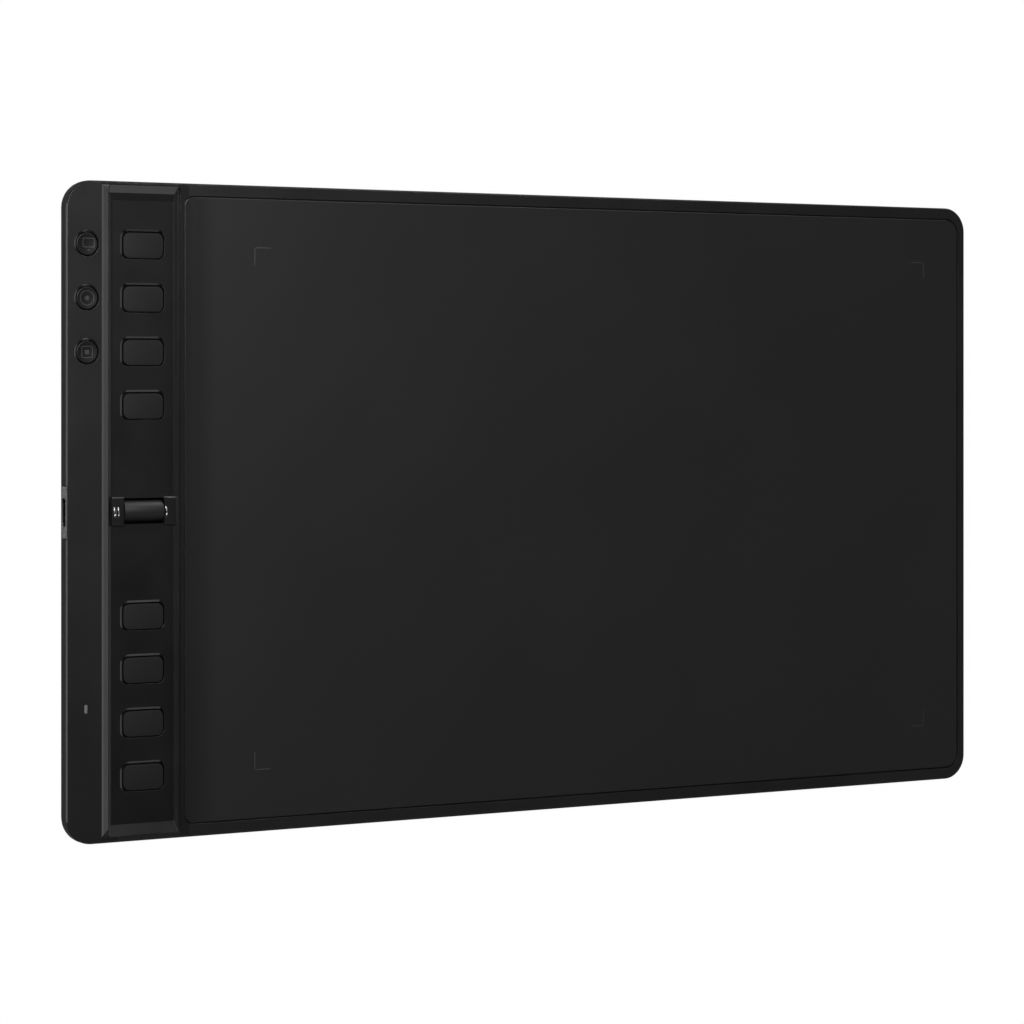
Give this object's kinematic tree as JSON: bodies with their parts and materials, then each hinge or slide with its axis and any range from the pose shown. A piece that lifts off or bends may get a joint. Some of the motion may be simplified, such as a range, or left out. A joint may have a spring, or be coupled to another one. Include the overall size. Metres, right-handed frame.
{
  "type": "graphics tablet",
  "caption": "Slim black pen tablet: matte drawing sheet with corner marks, recessed column of push keys with a roller, round mode buttons and a USB-C port in the left side.",
  "frame": {"origin": "centre of the footprint, at the soles of the rubber feet", "axes": "+X to the right along the long side, +Y to the top edge, +Z out of the drawing face"},
  "size_m": [0.35, 0.2064, 0.0088],
  "materials": {
    "case_plastic": "fine moulded texture, matte black",
    "panel_gloss": "polished black",
    "sheet_film": "fine paper-like tooth, matte black",
    "key_plastic": "soft satin black",
    "button_plastic": "satin black with a dished face",
    "circuit_board": "green solder mask",
    "shield_steel": "plain rolled steel foil",
    "switch_plastic": "moulded black nylon",
    "spring_steel": "stamped spring steel",
    "axle_steel": "ground steel",
    "drum_plastic": "moulded black acetal",
    "sleeve_gloss": "satin black sleeve",
    "collar_steel": "polished steel",
    "port_steel": "nickel-plated steel",
    "contact_gold": "gold-plated contacts",
    "led_white": "white status light",
    "light_clear": "clear acrylic, frosted end",
    "ribbon_film": "white polyester film",
    "socket_plastic": "cream nylon",
    "chip_resin": "black epoxy",
    "screw_steel": "black-oxide steel",
    "foot_rubber": "matte rubber"
  },
  "bodies": {
    "case": {"top_cover": "case_plastic", "bottom_cover": "case_plastic", "key_panel": "panel_gloss", "drawing_sheet": "sheet_film", "sensor_board": "circuit_board", "key_board": "circuit_board", "strip_board": "circuit_board", "shield_plate": "shield_steel", "switch_housings": "switch_plastic", "switch_domes": "spring_steel", "roller_cradle": "drum_plastic", "encoder_body": "switch_plastic", "usb_shell": "port_steel", "usb_tongue": "switch_plastic", "usb_contacts": "contact_gold", "status_led": "led_white", "light_pipe": "light_clear", "sensor_ribbon": "ribbon_film", "strip_ribbon": "ribbon_film", "ribbon_sockets": "socket_plastic", "controller_chips": "chip_resin", "case_screws": "screw_steel", "board_screws": "screw_steel", "rubber_feet": "foot_rubber"},
    "key_1_body": {"key_1": "key_plastic", "switch_stem_1": "switch_plastic"},
    "key_2_body": {"key_2": "key_plastic", "switch_stem_2": "switch_plastic"},
    "key_3_body": {"key_3": "key_plastic", "switch_stem_3": "switch_plastic"},
    "key_4_body": {"key_4": "key_plastic", "switch_stem_4": "switch_plastic"},
    "key_5_body": {"key_5": "key_plastic", "switch_stem_5": "switch_plastic"},
    "key_6_body": {"key_6": "key_plastic", "switch_stem_6": "switch_plastic"},
    "key_7_body": {"key_7": "key_plastic", "switch_stem_7": "switch_plastic"},
    "key_8_body": {"key_8": "key_plastic", "switch_stem_8": "switch_plastic"},
    "mode_1_body": {"mode_button_1": "button_plastic", "mode_stem_1": "switch_plastic"},
    "mode_2_body": {"mode_button_2": "button_plastic", "mode_stem_2": "switch_plastic"},
    "mode_3_body": {"mode_button_3": "button_plastic", "mode_stem_3": "switch_plastic"},
    "roller_body": {"roller_axle": "axle_steel", "roller_drum": "drum_plastic", "roller_sleeve": "sleeve_gloss", "roller_collars": "collar_steel", "encoder_rotor": "switch_plastic"}
  },
  "joints": [
    {"name": "key_1_press", "type": "slide", "parent": "case", "child": "key_1_body", "axis": [0, 0, -1], "range_m": [0, 0.0004], "stiffness_N_per_m": 4000},
    {"name": "key_2_press", "type": "slide", "parent": "case", "child": "key_2_body", "axis": [0, 0, -1], "range_m": [0, 0.0004], "stiffness_N_per_m": 4000},
    {"name": "key_3_press", "type": "slide", "parent": "case", "child": "key_3_body", "axis": [0, 0, -1], "range_m": [0, 0.0004], "stiffness_N_per_m": 4000},
    {"name": "key_4_press", "type": "slide", "parent": "case", "child": "key_4_body", "axis": [0, 0, -1], "range_m": [0, 0.0004], "stiffness_N_per_m": 4000},
    {"name": "key_5_press", "type": "slide", "parent": "case", "child": "key_5_body", "axis": [0, 0, -1], "range_m": [0, 0.0004], "stiffness_N_per_m": 4000},
    {"name": "key_6_press", "type": "slide", "parent": "case", "child": "key_6_body", "axis": [0, 0, -1], "range_m": [0, 0.0004], "stiffness_N_per_m": 4000},
    {"name": "key_7_press", "type": "slide", "parent": "case", "child": "key_7_body", "axis": [0, 0, -1], "range_m": [0, 0.0004], "stiffness_N_per_m": 4000},
    {"name": "key_8_press", "type": "slide", "parent": "case", "child": "key_8_body", "axis": [0, 0, -1], "range_m": [0, 0.0004], "stiffness_N_per_m": 4000},
    {"name": "mode_1_press", "type": "slide", "parent": "case", "child": "mode_1_body", "axis": [0, 0, -1], "range_m": [0, 0.0004], "stiffness_N_per_m": 4000},
    {"name": "mode_2_press", "type": "slide", "parent": "case", "child": "mode_2_body", "axis": [0, 0, -1], "range_m": [0, 0.0004], "stiffness_N_per_m": 4000},
    {"name": "mode_3_press", "type": "slide", "parent": "case", "child": "mode_3_body", "axis": [0, 0, -1], "range_m": [0, 0.0004], "stiffness_N_per_m": 4000},
    {"name": "roller_spin", "type": "hinge", "parent": "case", "child": "roller_body", "pos_m": [-0.14845, 0, 0.00535], "axis": [1, 0, 0], "continuous": true}
  ]
}
